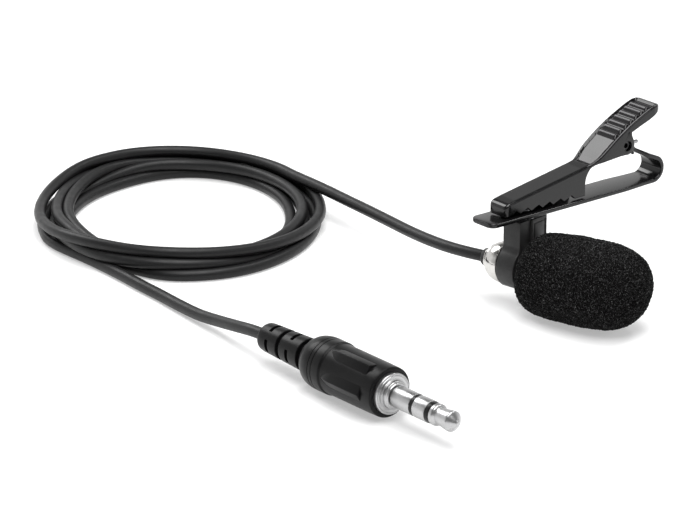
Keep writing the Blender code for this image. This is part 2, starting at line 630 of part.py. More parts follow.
def make_contacts(plug):
    """Sleeve, ring and tip are turned pieces, each with its own tail inside the plug."""
    tail_r = 2.3 * MM
    sleeve_bore = 1.2 * MM
    base = SHOULDER
    turned("plug_sleeve", [(base - 6.2 * MM, sleeve_bore), (base - 6.2 * MM, tail_r), (base - 0.6 * MM, tail_r),
                           (base - 0.6 * MM, 3.25 * MM), (base, 3.25 * MM), (base, 2.85 * MM),
                           (base + 0.3 * MM, 2.75 * MM), (base + 0.4 * MM, 2.35 * MM),
                           (base + 0.9 * MM, 2.2 * MM), (base + 1.2 * MM, JACK_R),
                           (base + 5.25 * MM, JACK_R), (base + 5.25 * MM, sleeve_bore)], CHROME, plug)
    turned("sleeve_insulator", tube_outline(base + 5.4 * MM, base + 6.0 * MM, JACK_R - 0.05 * MM, sleeve_bore),
           BLACK_PLASTIC, plug)
    rod = 0.4 * MM
    ring_bore = rod + 0.25 * MM
    turned("plug_ring", [(base - 7.4 * MM, ring_bore), (base - 7.4 * MM, 0.9 * MM), (base + 6.15 * MM, 0.9 * MM),
                         (base + 6.15 * MM, JACK_R), (base + 8.7 * MM, JACK_R), (base + 8.7 * MM, ring_bore)],
           CHROME, plug)
    turned("ring_insulator", tube_outline(base + 8.85 * MM, base + 9.6 * MM, JACK_R - 0.05 * MM, ring_bore),
           BLACK_PLASTIC, plug)
    turned("plug_tip", [(base - 8.6 * MM, 0), (base - 8.6 * MM, rod), (base + 9.75 * MM, rod),
                        (base + 9.75 * MM, 1.6 * MM), (base + 10.1 * MM, 1.68 * MM), (base + 10.5 * MM, 1.6 * MM),
                        (base + 10.8 * MM, 1.36 * MM), (base + 12.3 * MM, 1.45 * MM), (base + 13.3 * MM, 1.56 * MM),
                        (base + 13.6 * MM, 1.5 * MM), (base + 14.55 * MM, 0.5 * MM), (base + 14.7 * MM, 0)],
           CHROME, plug)


def main():
    clear_scene()
    mic = empty("mic_frame", (MIC_X, MIC_Y, AXIS_Z))
    make_windscreen(mic)
    make_barrel(mic)
    make_capsule(mic)
    make_rear_dome(mic)
    make_holder(mic)
    clip = empty("clip_frame", (MIC_X + SWIVEL_X, MIC_Y + SWIVEL_Y, JAW_Z), -CLIP_TURN)
    make_swivel(clip)
    make_lower_jaw(clip)
    make_upper_jaw(clip)
    make_hinge(clip)
    make_leads()
    make_coil()
    plug = empty("plug_frame", PLUG_START, PLUG_HEADING)
    make_strain_relief(plug)
    make_plug_body(plug)
    make_contacts(plug)


main()
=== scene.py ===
"""Lavalier microphone with a tie clip, a foam windscreen, a coiled lead and a jack plug.

Everything is in metres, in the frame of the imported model: X along the microphone towards the
windscreen, Y towards the clip's handle, Z up from the surface that the parts rest on.
"""
import json
import math

import bmesh
import bpy
import numpy as np
from mathutils import Matrix, Vector, noise

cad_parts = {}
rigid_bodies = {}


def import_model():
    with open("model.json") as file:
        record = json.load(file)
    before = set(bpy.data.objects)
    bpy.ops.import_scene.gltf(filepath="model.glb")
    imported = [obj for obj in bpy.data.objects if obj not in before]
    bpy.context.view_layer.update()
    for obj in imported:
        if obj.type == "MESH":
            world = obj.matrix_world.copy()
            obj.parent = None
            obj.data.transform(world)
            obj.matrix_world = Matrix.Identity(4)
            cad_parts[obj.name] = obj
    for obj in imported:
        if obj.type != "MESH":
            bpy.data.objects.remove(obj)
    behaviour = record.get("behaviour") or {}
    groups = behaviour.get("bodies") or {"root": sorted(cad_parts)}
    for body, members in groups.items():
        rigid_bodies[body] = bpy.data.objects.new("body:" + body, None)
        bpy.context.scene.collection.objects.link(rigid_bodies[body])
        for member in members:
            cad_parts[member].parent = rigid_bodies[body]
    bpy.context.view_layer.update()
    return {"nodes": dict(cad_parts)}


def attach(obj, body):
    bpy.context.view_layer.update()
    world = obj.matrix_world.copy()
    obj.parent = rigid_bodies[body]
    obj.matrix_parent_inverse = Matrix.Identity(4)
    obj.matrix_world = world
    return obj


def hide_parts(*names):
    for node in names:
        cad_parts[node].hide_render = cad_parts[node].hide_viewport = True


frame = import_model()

MM = 0.001

# ---- Dimensions, in millimetres unless they say otherwise ----------------------------
MIC = (-10.9, -10.78, 6.8)          # rear face of the holder ring, on the microphone's axis
RING_WIDTH = 3.5
RING_R = 3.65
BARREL_R = 2.75
DOME_R = 3.4
FOAM_START = 5.5
FOAM_LENGTH = 20.4
FOAM_R = 7.15
FOAM_LIFT = 0.35                    # the barrel has sunk this much into the foam
FOAM_BORE_END = 9.0
FOAM_SWING = (0.045, 0.048)         # how far the foam leans along Y and Z, per millimetre forwards
FOAM_SINK = 0.45
PORES_PER_MM = 1.9
PORE_DEPTH = 0.28
GRILLE_START = 12.9

SWIVEL = (MIC[0] + 1.75, MIC[1] + 1.4, 15.45)
CLIP_TURN = math.radians(10)
STRIP = 0.7
STRIP_HALF = 2.8
TIP_CORNER = 1.25
JAW_TIP = -9.2
BEND_S = 26.2
BEND_R = 2.0
ARM_RISE = math.radians(28.2)
PIVOT = (19.75, 7.87)               # along the clip, and above the lower jaw's underside
SHEET = 0.6
SHEET_BEND = 0.45
PIN_HOLE_R = 0.88

CORD_D = 1.95
COIL_CENTRE = (-76.6, -18.98)
COIL_A = 23.2
COIL_B = 27.3
COIL_HEADING = 41.0

PLUG = (-23.06, -55.58, 4.4)
PLUG_HEADING = math.radians(-9.6)
RELIEF_LENGTH = 11.1
BODY_START, BODY_END = 11.25, 29.6
COLLAR_R = 4.27
SHOULDER = 30.4
JACK_R = 1.75

CAMERA_AZIMUTH, CAMERA_ELEVATION = math.radians(41), math.radians(20.5)
CAMERA_DISTANCE = 0.6               # metres
CAMERA_LENS = 185.14
LOOK_AT = (-41.76, -14.54, 0.0)
FLOOR_GLOW = 0.4

WELD = 1e-5
FLOOR_GAP = 0.02


# ---- Mesh helpers ---------------------------------------------------------------------
def finish_mesh(name, bm, material, matrix=None, smooth_angle=40.0):
    """Makes an object of bm. Its coordinates are millimetres in the frame of matrix."""
    bmesh.ops.remove_doubles(bm, verts=bm.verts[:], dist=WELD)
    bmesh.ops.recalc_face_normals(bm, faces=bm.faces[:])
    bm.transform(Matrix.Scale(MM, 4))
    if matrix:
        bm.transform(matrix)
    mesh = bpy.data.meshes.new(name)
    bm.to_mesh(mesh)
    bm.free()
    mesh.shade_smooth()
    if smooth_angle < 180:
        mesh.set_sharp_from_angle(angle=math.radians(smooth_angle))
    obj = bpy.data.objects.new(name, mesh)
    bpy.context.collection.objects.link(obj)
    mesh.materials.append(material)
    return obj


def apply_modifiers(obj):
    graph = bpy.context.evaluated_depsgraph_get()
    made = bpy.data.meshes.new_from_object(obj.evaluated_get(graph))
    old = obj.data
    obj.modifiers.clear()
    obj.data = made
    bpy.data.meshes.remove(old)
    return obj


def bevelled(obj, width, segments=3, angle=35.0):
    step = obj.modifiers.new("edge_rounding", "BEVEL")
    step.width = width * MM
    step.segments = segments
    step.limit_method = "ANGLE"
    step.angle_limit = math.radians(angle)
    apply_modifiers(obj)
    obj.data.shade_smooth()
    obj.data.set_sharp_from_angle(angle=math.radians(60))
    return obj


def rounded(points, radii, steps=5):
    """The open polyline with each inner corner turned into a curve that starts radii before it."""
    points = [Vector(p) for p in points]
    if not hasattr(radii, "__len__"):
        radii = [radii] * len(points)
    out = [points[0]]
    for before, here, after, radius in zip(points, points[1:], points[2:], radii[1:]):
        a = before - here
        b = after - here
        reach = min(radius, a.length * 0.49, b.length * 0.49)
        if reach < 1e-4:
            out.append(here)
            continue
        start = here + a.normalized() * reach
        end = here + b.normalized() * reach
        for step in range(steps + 1):
            t = step / steps
            out.append(start * (1 - t) ** 2 + here * 2 * t * (1 - t) + end * t * t)
    out.append(points[-1])
    return out


def turn_bmesh(outline, segments=96, lift=0.0, closed=True):
    """Turns (along X, radius) points about X."""
    bm = bmesh.new()
    rings = []
    for along, radius in outline:
        if radius < 1e-6:
            rings.append([bm.verts.new((along, 0, lift))])
            continue
        rings.append([bm.verts.new((along, radius * math.cos(a), lift + radius * math.sin(a)))
                      for a in (2 * math.pi * k / segments for k in range(segments))])
    count = len(rings) if closed else len(rings) - 1
    for index in range(count):
        first, second = rings[index], rings[(index + 1) % len(rings)]
        if len(first) == 1 and len(second) == 1:
            continue
        for k in range(segments):
            j = (k + 1) % segments
            corners = [first[k % len(first)], first[j % len(first)],
                       second[j % len(second)], second[k % len(second)]]
            bm.faces.new(list(dict.fromkeys(corners)))
    return bm


def turned(name, outline, material, matrix, segments=96):
    return finish_mesh(name, turn_bmesh(outline, segments), material, matrix)


def loft_bmesh(sections):
    """Joins closed sections of equal point counts, and closes both ends."""
    bm = bmesh.new()
    rings = [[bm.verts.new(p) for p in section] for section in sections]
    for first, second in zip(rings, rings[1:]):
        count = len(first)
        for k in range(count):
            j = (k + 1) % count
            bm.faces.new([first[k], second[k], second[j], first[j]])
    bm.faces.new(rings[0])
    bm.faces.new(rings[-1][::-1])
    return bm


def prism_bmesh(outline, low, high):
    """A prism of a closed (y, z) outline, from low to high along X."""
    bm = bmesh.new()
    near = [bm.verts.new((low, y, z)) for y, z in outline]
    far = [bm.verts.new((high, y, z)) for y, z in outline]
    bm.faces.new(near)
    bm.faces.new(far[::-1])
    for k in range(len(outline)):
        j = (k + 1) % len(outline)
        bm.faces.new([near[k], near[j], far[j], far[k]])
    return bm


def prism(name, outline, low, high, material, matrix):
    return finish_mesh(name, prism_bmesh(outline, low, high), material, matrix)


def box_outline(low_u, high_u, low_v, high_v):
    return [(low_u, low_v), (high_u, low_v), (high_u, high_v), (low_u, high_v)]


def arc(centre, radius, first, last, steps):
    return [(centre[0] + radius * math.cos(math.radians(first + (last - first) * k / steps)),
             centre[1] + radius * math.sin(math.radians(first + (last - first) * k / steps)))
            for k in range(steps + 1)]


def cut(obj, cutters):
    """Takes the cutters' shapes out of obj, and removes them."""
    for cutter in cutters:
        step = obj.modifiers.new("cut", "BOOLEAN")
        step.operation = "DIFFERENCE"
        step.solver = "EXACT"
        step.object = cutter
    apply_modifiers(obj)
    for cutter in cutters:
        bpy.data.objects.remove(cutter, do_unlink=True)
    obj.data.shade_smooth()
    obj.data.set_sharp_from_angle(angle=math.radians(38))
    return obj


def tube_mesh(name, points, radius, material, matrix=None, sides=16):
    """A round tube along points, with its cross-section carried along without a twist."""
    points = [Vector(p) for p in points]
    tangents = []
    for index in range(len(points)):
        before = points[max(0, index - 1)]
        after = points[min(len(points) - 1, index + 1)]
        tangents.append((after - before).normalized())
    side = tangents[0].cross(Vector((0, 0, 1)))
    if side.length < 0.1:
        side = tangents[0].cross(Vector((0, 1, 0)))
    side.normalize()
    bm = bmesh.new()
    rings = []
    for point, tangent in zip(points, tangents):
        side = (side - tangent * side.dot(tangent)).normalized()
        up = tangent.cross(side)
        rings.append([bm.verts.new(point + (side * math.cos(a) + up * math.sin(a)) * radius)
                      for a in (2 * math.pi * k / sides for k in range(sides))])
    for first, second in zip(rings, rings[1:]):
        for k in range(sides):
            j = (k + 1) % sides
            bm.faces.new([first[k], first[j], second[j], second[k]])
    bm.faces.new(rings[0][::-1])
    bm.faces.new(rings[-1])
    return finish_mesh(name, bm, material, matrix, 60)


def mic_matrix():
    return Matrix.Translation(Vector(MIC) * MM)


def clip_matrix():
    """X is across the clip, Y along it towards the handle, Z up from the jaw's underside."""
    return Matrix.Translation(Vector(SWIVEL) * MM) @ Matrix.Rotation(-CLIP_TURN, 4, "Z")


def plug_matrix():
    return Matrix.Translation(Vector(PLUG) * MM) @ Matrix.Rotation(PLUG_HEADING, 4, "Z")


# ---- Materials ------------------------------------------------------------------------
def new_material(name, colour, roughness, metallic=0.0, **sockets):
    made = bpy.data.materials.new(name)
    made.use_nodes = True
    shader = made.node_tree.nodes["Principled BSDF"]
    shader.inputs["Base Color"].default_value = (*colour, 1.0)
    shader.inputs["Roughness"].default_value = roughness
    shader.inputs["Metallic"].default_value = metallic
    for socket, value in sockets.items():
        shader.inputs[socket.replace("_", " ")].default_value = value
    return made, made.node_tree, shader


def noise_node(tree, scale, detail=4.0, roughness=0.6, stretch=None):
    """A noise texture over object coordinates. scale is in features per millimetre."""
    place = tree.nodes.new("ShaderNodeTexCoord")
    texture = tree.nodes.new("ShaderNodeTexNoise")
    texture.inputs["Scale"].default_value = scale * 1000
    texture.inputs["Detail"].default_value = detail
    texture.inputs["Roughness"].default_value = roughness
    if stretch:
        mapping = tree.nodes.new("ShaderNodeMapping")
        mapping.inputs["Scale"].default_value = stretch
        tree.links.new(place.outputs["Object"], mapping.inputs["Vector"])
        tree.links.new(mapping.outputs["Vector"], texture.inputs["Vector"])
    else:
        tree.links.new(place.outputs["Object"], texture.inputs["Vector"])
    return texture


def ramp_node(tree, source, stops):
    ramp = tree.nodes.new("ShaderNodeValToRGB")
    elements = ramp.color_ramp.elements
    while len(elements) < len(stops):
        elements.new(0.5)
    for element, (position, colour) in zip(elements, stops):
        element.position = position
        grey = not hasattr(colour, "__len__")
        element.color = (colour, colour, colour, 1.0) if grey else (*colour, 1.0)
    tree.links.new(source, ramp.inputs["Fac"])
    return ramp


def add_bump(tree, shader, height, strength, distance):
    bump = tree.nodes.new("ShaderNodeBump")
    bump.inputs["Strength"].default_value = strength
    bump.inputs["Distance"].default_value = distance * MM
    tree.links.new(height, bump.inputs["Height"])
    tree.links.new(bump.outputs["Normal"], shader.inputs["Normal"])


def mottled(name, dark, light, rough_low, rough_high, scale, bump, depth, metallic=0.0, stretch=None,
            **sockets):
    """A finish whose colour, roughness and surface vary with a fine grain."""
    made, tree, shader = new_material(name, dark, rough_low, metallic, **sockets)
    grain = noise_node(tree, scale, 4.0, 0.6, stretch)
    colour = ramp_node(tree, grain.outputs["Fac"], ((0.3, dark), (0.72, light)))
    tree.links.new(colour.outputs["Color"], shader.inputs["Base Color"])
    patches = noise_node(tree, scale * 0.18, 3.0, 0.55, stretch)
    gloss = ramp_node(tree, patches.outputs["Fac"], ((0.32, rough_low), (0.7, rough_high)))
    tree.links.new(gloss.outputs["Color"], shader.inputs["Roughness"])
    add_bump(tree, shader, grain.outputs["Fac"], bump, depth)
    return made


def make_foam_material():
    """Open-cell foam: slightly lighter struts round near-black pores, whose near-black is painted shade,
    with small painted glints on top.
    """
    made, tree, shader = new_material("foam_black", (0.012, 0.012, 0.012), 0.9)
    shader.inputs["Specular IOR Level"].default_value = 0.1
    place = tree.nodes.new("ShaderNodeTexCoord")
    cells = tree.nodes.new("ShaderNodeTexVoronoi")
    cells.feature = "DISTANCE_TO_EDGE"
    cells.inputs["Scale"].default_value = 3500
    tree.links.new(place.outputs["Object"], cells.inputs["Vector"])
    # painted shade: the colour falls to near-black away from the cell edges, standing in for the shade
    # inside the pores
    struts = ramp_node(tree, cells.outputs["Distance"], ((0.012, 0.105), (0.055, 0.001)))
    # painted glints: a fine noise brightens small patches up to 1.6 times, standing in for light caught on
    # the struts
    grain = noise_node(tree, 3.2, 3.0, 0.7)
    painted_glints = ramp_node(tree, grain.outputs["Fac"], ((0.48, 0.07), (0.64, 1.6)))
    mix = tree.nodes.new("ShaderNodeMix")
    mix.data_type = "RGBA"
    mix.blend_type = "MULTIPLY"
    mix.inputs["Factor"].default_value = 1.0
    tree.links.new(struts.outputs["Color"], mix.inputs[6])
    tree.links.new(painted_glints.outputs["Color"], mix.inputs[7])
    tree.links.new(mix.outputs[2], shader.inputs["Base Color"])
    add_bump(tree, shader, cells.outputs["Distance"], 0.9, -0.22)
    return made


# Each finish: its name, its darkest and lightest colour, its least and greatest roughness, grains per
# millimetre, the bump's strength and depth, and what else sets it apart.
FINISHES = {
    "jacket": ("cable_jacket", (0.008, 0.008, 0.0082), (0.012, 0.012, 0.0125), 0.38, 0.48, 3.0,
               0.12, 0.03, {"Specular_IOR_Level": 0.25}),
    "paint": ("gloss_black_paint", (0.0045, 0.0045, 0.0047), (0.006, 0.006, 0.0062), 0.13, 0.19, 1.6,
              0.05, 0.02, {"Specular_IOR_Level": 0.4}),
    "plastic": ("grained_black_plastic", (0.013, 0.013, 0.013), (0.021, 0.021, 0.021), 0.42, 0.55, 6.0,
                0.22, 0.03, {"Specular_IOR_Level": 0.4}),
    "plug_plastic": ("satin_dark_plastic", (0.003, 0.003, 0.0031), (0.006, 0.006, 0.0062), 0.3, 0.37, 5.0,
                     0.1, 0.02, {"Specular_IOR_Level": 0.15}),
    "chrome": ("nickel_plate", (0.42, 0.42, 0.425), (0.49, 0.49, 0.49), 0.26, 0.34, 2.0,
               0.03, 0.01, {"metallic": 1.0}),
    "dome_chrome": ("dome_nickel", (0.56, 0.55, 0.53), (0.63, 0.62, 0.6), 0.14, 0.22, 2.5,
                    0.05, 0.01, {"metallic": 1.0}),
    "steel": ("bright_steel", (0.28, 0.28, 0.285), (0.4, 0.4, 0.41), 0.22, 0.36, 5.0,
              0.12, 0.02, {"metallic": 1.0, "stretch": (1.0, 0.25, 1.0)}),
    "dark_steel": ("dark_steel", (0.05, 0.05, 0.052), (0.09, 0.09, 0.09), 0.25, 0.4, 5.0,
                   0.12, 0.02, {"metallic": 1.0}),
    "aluminium": ("brushed_can", (0.6, 0.6, 0.61), (0.72, 0.72, 0.73), 0.25, 0.4, 4.0,
                  0.1, 0.02, {"metallic": 1.0, "stretch": (0.2, 1.0, 1.0)}),
    "brass": ("crimp_brass", (0.62, 0.42, 0.16), (0.78, 0.56, 0.26), 0.25, 0.4, 4.0,
              0.1, 0.02, {"metallic": 1.0}),
    "rubber": ("soft_rubber", (0.016, 0.016, 0.016), (0.028, 0.028, 0.028), 0.6, 0.75, 5.0, 0.2, 0.03, {}),
    "insulator": ("black_insulator", (0.004, 0.004, 0.004), (0.007, 0.007, 0.007), 0.25, 0.35, 4.0,
                  0.05, 0.01, {"Specular_IOR_Level": 0.2}),
    "board": ("board_laminate", (0.02, 0.13, 0.05), (0.035, 0.19, 0.08), 0.3, 0.45, 4.0, 0.15, 0.02, {}),
    "red": ("red_insulation", (0.42, 0.035, 0.03), (0.55, 0.06, 0.05), 0.4, 0.5, 4.0, 0.1, 0.02, {}),
    "white": ("white_insulation", (0.7, 0.7, 0.68), (0.8, 0.8, 0.78), 0.4, 0.5, 4.0, 0.1, 0.02, {}),
}


def make_materials():
    made = {finish: mottled(*values[:-1], **values[-1]) for finish, values in FINISHES.items()}
    made["foam"] = make_foam_material()
    return made


MATERIALS = make_materials()


# ---- Camera, floor and light ----------------------------------------------------------
# A soft box on the left, two lights overhead, a small one behind and a weak one on the right: each one's
# name, direction from the object, distance and diameter in metres, and radiance.
LIGHTS = (("left_softbox", (-0.74, 0.02, 0.675), 0.8, 0.42, 6.5),
          ("top_light", (0.08, 0.1, 1.0), 0.9, 0.45, 8.0),
          ("front_light", (0.3, -0.32, 0.9), 0.9, 0.6, 6.5),
          ("back_light", (0.17, 0.58, 0.78), 0.9, 0.2, 13.0),
          ("right_light", (0.85, 0.2, 0.5), 0.9, 0.25, 3.0))


def make_stage():
    look = Vector(LOOK_AT) * MM
    level = math.cos(CAMERA_ELEVATION)
    forward = Vector((-math.sin(CAMERA_AZIMUTH) * level, math.cos(CAMERA_AZIMUTH) * level,
                      -math.sin(CAMERA_ELEVATION)))
    camera = bpy.data.objects.new("camera", bpy.data.cameras.new("camera"))
    bpy.context.collection.objects.link(camera)
    camera.location = look - forward * CAMERA_DISTANCE
    camera.rotation_euler = forward.to_track_quat("-Z", "Y").to_euler()
    camera.data.sensor_width = 36.0
    camera.data.lens = CAMERA_LENS
    camera.data.clip_start = 0.01
    camera.data.clip_end = 10.0
    bpy.context.scene.camera = camera

    floor = bmesh.new()
    bmesh.ops.create_grid(floor, x_segments=8, y_segments=8, size=1500)
    white, tree, shader = new_material("floor_white", (0.62, 0.62, 0.62), 0.9)
    shader.inputs["Specular IOR Level"].default_value = 0.1
    shader.inputs["Emission Color"].default_value = (1.0, 1.0, 1.0, 1.0)
    shader.inputs["Emission Strength"].default_value = FLOOR_GLOW
    grain = noise_node(tree, 0.02, 2.0)
    tone = ramp_node(tree, grain.outputs["Fac"], ((0.3, 0.61), (0.7, 0.63)))
    tree.links.new(tone.outputs["Color"], shader.inputs["Base Color"])
    plane = finish_mesh("studio_floor", floor, white)
    plane.location.z = -0.00002

    world = bpy.data.worlds.new("studio")
    bpy.context.scene.world = world
    world.use_nodes = True
    tree = world.node_tree
    background = tree.nodes["Background"]
    place = tree.nodes.new("ShaderNodeTexCoord")
    split = tree.nodes.new("ShaderNodeSeparateXYZ")
    tree.links.new(place.outputs["Generated"], split.inputs["Vector"])
    sky = ramp_node(tree, split.outputs["Z"],
                    ((0.0, 1.0), (0.4, 0.95), (0.56, 0.42), (0.72, 0.06), (1.0, 0.05)))
    # the room is darker on the viewer's side
    facing = tree.nodes.new("ShaderNodeVectorMath")
    facing.operation = "DOT_PRODUCT"
    facing.inputs[1].default_value = (0.656, -0.755, 0.0)
    tree.links.new(place.outputs["Generated"], facing.inputs[0])
    side = ramp_node(tree, facing.outputs["Value"], ((0.0, 1.0), (0.35, 0.45), (0.9, 0.25)))
    blend = tree.nodes.new("ShaderNodeMix")
    blend.data_type = "RGBA"
    blend.blend_type = "MULTIPLY"
    blend.inputs["Factor"].default_value = 1.0
    tree.links.new(sky.outputs["Color"], blend.inputs[6])
    tree.links.new(side.outputs["Color"], blend.inputs[7])
    tree.links.new(blend.outputs[2], background.inputs["Color"])
    background.inputs["Strength"].default_value = 1.0

    for name, way, reach, size, radiance in LIGHTS:
        light = bpy.data.lights.new(name, "AREA")
        light.shape = "DISK"
        light.size = size
        light.energy = radiance * math.pi ** 2 * size ** 2 / 4
        lamp = bpy.data.objects.new(name, light)
        bpy.context.collection.objects.link(lamp)
        lamp.location = look + Vector(way).normalized() * reach
        lamp.rotation_euler = (look - lamp.location).to_track_quat("-Z", "Y").to_euler()
    bpy.context.scene.view_settings.view_transform = "Standard"


# ---- Cord -----------------------------------------------------------------------------
# Both leads are given along and across the microphone from its ring, and above the floor.
MIC_LEAD = [(-4.65, 0.0, 6.8), (-6.0, -0.1, 6.8), (-8.0, -0.25, 6.75), (-12.6, 0.15, 6.5),
            (-18.0, 1.5, 6.1), (-24.0, 3.4, 5.75), (-30.2, 5.6, 5.5), (-36.5, 7.7, 5.35),
            (-42.8, 9.75, 5.2), (-49.6, 11.9, 5.1)]
PLUG_LEAD = [(-61.8, -31.6, 1.0), (-55.9, -33.0, 1.0), (-47.2, -35.3, 1.0), (-43.3, -36.2, 1.0),
             (-37.2, -37.95, 1.15), (-31.4, -39.6, 1.5), (-25.8, -41.1, 2.3), (-20.1, -42.9, 3.4),
             (-16.0, -44.0, 4.1), (-12.4, -44.76, 4.4)]
# Where the winding lies: its direction from the coil's centre in degrees, then how far inside the
# ellipse and how high its centre line runs, in cord diameters.
WINDING = [(78, 0.3, 2.5), (131, 0.5, 2.3), (221, 0.0, 1.55), (311, 0.9, 2.2), (401, -0.3, 1.45),
           (491, -0.5, 1.37), (581, 0.8, 1.65), (671, 1.7, 1.6), (761, 1.0, 1.9), (851, 1.4, 1.4),
           (941, 0.8, 0.8), (1031, 0.5, 1.35), (1121, 0.7, 0.6), (1211, 0.4, 1.4), (1301, 1.75, 0.9),
           (1346, 2.5, 0.8), (1391, 2.0, 0.5), (1481, 2.1, 0.8), (1571, 0.9, 0.5), (1661, 1.6, 0.5),
           (1706, 1.75, 0.5), (1728, 1.2, 0.55), (1751, 0.3, 0.5), (1775, 0.12, 0.5), (1841, 0.1, 0.5),
           (1931, -0.1, 0.5), (2021, 0.5, 0.5), (2046, 0.75, 0.5)]
WINDING_STEP = 7.5                  # degrees
ROUTE_STEP, CORD_STEP = 1.3, 1.5
TOUCHING = CORD_D * 1.01            # between the centres of two strands that touch
NEIGHBOURS = 7                      # points along the cord that may be closer than that
SINK = 0.006                        # in each round of settling
SPRING_BACK = 0.9995
EASE_OUT = 13                       # points from a held stretch to a free one


def wind():
    """Points every few degrees round the coil, easing from one entry of WINDING to the next."""
    points = []
    for (a0, in0, up0), (a1, in1, up1) in zip(WINDING, WINDING[1:]):
        count = max(2, round((a1 - a0) / WINDING_STEP))
        for k in range(count):
            t = k / count
            ease = t * t * (3 - 2 * t)
            points.append((a0 + (a1 - a0) * t, in0 + (in1 - in0) * ease, up0 + (up1 - up0) * ease))
    points.append(WINDING[-1])
    return [coil_point(*place) for place in points]


def catmull(points, spacing):
    """Evenly spaced points along a smooth curve through points."""
    p = np.array(points, float)
    p = np.vstack([2 * p[0] - p[1], p, 2 * p[-1] - p[-2]])
    fine = []
    for k in range(1, len(p) - 2):
        p0, p1, p2, p3 = p[k - 1:k + 3]
        d1 = max(1e-9, np.linalg.norm(p1 - p0)) ** 0.5
        d2 = max(1e-9, np.linalg.norm(p2 - p1)) ** 0.5
        d3 = max(1e-9, np.linalg.norm(p3 - p2)) ** 0.5
        m1 = (p2 - p1) + d2 * ((p1 - p0) / d1 - (p2 - p0) / (d1 + d2))
        m2 = (p2 - p1) + d2 * ((p3 - p2) / d3 - (p3 - p1) / (d2 + d3))
        for t in np.linspace(0, 1, 24, endpoint=False):
            fine.append((2 * t ** 3 - 3 * t ** 2 + 1) * p1 + (t ** 3 - 2 * t ** 2 + t) * m1
                        + (3 * t ** 2 - 2 * t ** 3) * p2 + (t ** 3 - t ** 2) * m2)
    fine.append(p[-2])
    return even(np.array(fine), spacing)


def even(points, spacing):
    length = np.concatenate([[0], np.cumsum(np.linalg.norm(np.diff(points, axis=0), axis=1))])
    count = max(2, int(round(length[-1] / spacing)))
    wanted = np.linspace(0, length[-1], count + 1)
    return np.stack([np.interp(wanted, length, points[:, k]) for k in range(3)], axis=1)


def coil_point(direction, inward, height):
    turn = math.radians(direction - COIL_HEADING)
    # the parameter of the ellipse whose point lies in that direction
    phi = math.atan2(math.sin(turn) * COIL_A, math.cos(turn) * COIL_B)
    along = (COIL_A - inward * CORD_D) * math.cos(phi)
    across = (COIL_B - inward * CORD_D) * math.sin(phi)
    heading = math.radians(COIL_HEADING)
    return (COIL_CENTRE[0] + along * math.cos(heading) - across * math.sin(heading),
            COIL_CENTRE[1] + along * math.sin(heading) + across * math.cos(heading),
            height * CORD_D)


def settle(path, fixed_start, fixed_end, rounds=260):
    """Pushes strands that touch a diameter apart, and lets them sink onto each other and the floor."""
    start = path.copy()
    moved = np.zeros_like(path)
    count = len(path)
    index = np.arange(count)
    apart = np.abs(index[:, None] - index[None, :]) > NEIGHBOURS
    hold = np.ones(count)
    hold[:fixed_start] = 0
    hold[-fixed_end:] = 0
    for k in range(1, EASE_OUT):
        hold[fixed_start + k - 1] = k / EASE_OUT
        hold[-fixed_end - k] = k / EASE_OUT
    for _ in range(rounds):
        now = start + moved
        gap = now[:, None, :] - now[None, :, :]
        dist = np.linalg.norm(gap, axis=2)
        near = apart & (dist < TOUCHING)
        a, b = np.nonzero(near)
        push = np.zeros_like(now)
        hits = np.zeros(count)
        if len(a):
            d = np.maximum(dist[a, b], 1e-6)
            amount = (TOUCHING - d)[:, None] * gap[a, b] / d[:, None]
            np.add.at(push, a, amount * 0.5)
            np.add.at(hits, a, 1)
        push /= np.maximum(1, hits)[:, None]
        push[:, 2] -= SINK
        moved += push * hold[:, None]
        moved *= SPRING_BACK
        for _ in range(3):
            smooth = moved.copy()
            smooth[1:-1] = 0.25 * moved[:-2] + 0.5 * moved[1:-1] + 0.25 * moved[2:]
            moved = smooth
        now = start + moved
        low = now[:, 2] < CORD_D / 2
        moved[low, 2] += CORD_D / 2 - now[low, 2]
    return start + moved


def make_cord():
    lead = [(MIC[0] + x, MIC[1] + y, z) for x, y, z in MIC_LEAD]
    tail = [(MIC[0] + x, MIC[1] + y, z) for x, y, z in PLUG_LEAD]
    path = catmull(lead + wind() + tail, ROUTE_STEP)
    path = settle(path, fixed_start=30, fixed_end=40)
    path = even(path, CORD_STEP)
    length = float(np.linalg.norm(np.diff(path, axis=0), axis=1).sum())
    cord = tube_mesh("microphone_cord", path, CORD_D / 2, MATERIALS["jacket"], sides=18)
    return cord, path * MM, length * MM


# ---- Windscreen -----------------------------------------------------------------------
def foam_radius(share):
    if share < 0.5:
        return 0.74 + 0.26 * max(0.0, 1 - ((0.5 - share) / 0.5) ** 2.8) ** (1 / 2.8)
    return max(0.0, 1 - ((share - 0.5) / 0.5) ** 2.8) ** (1 / 2.8)


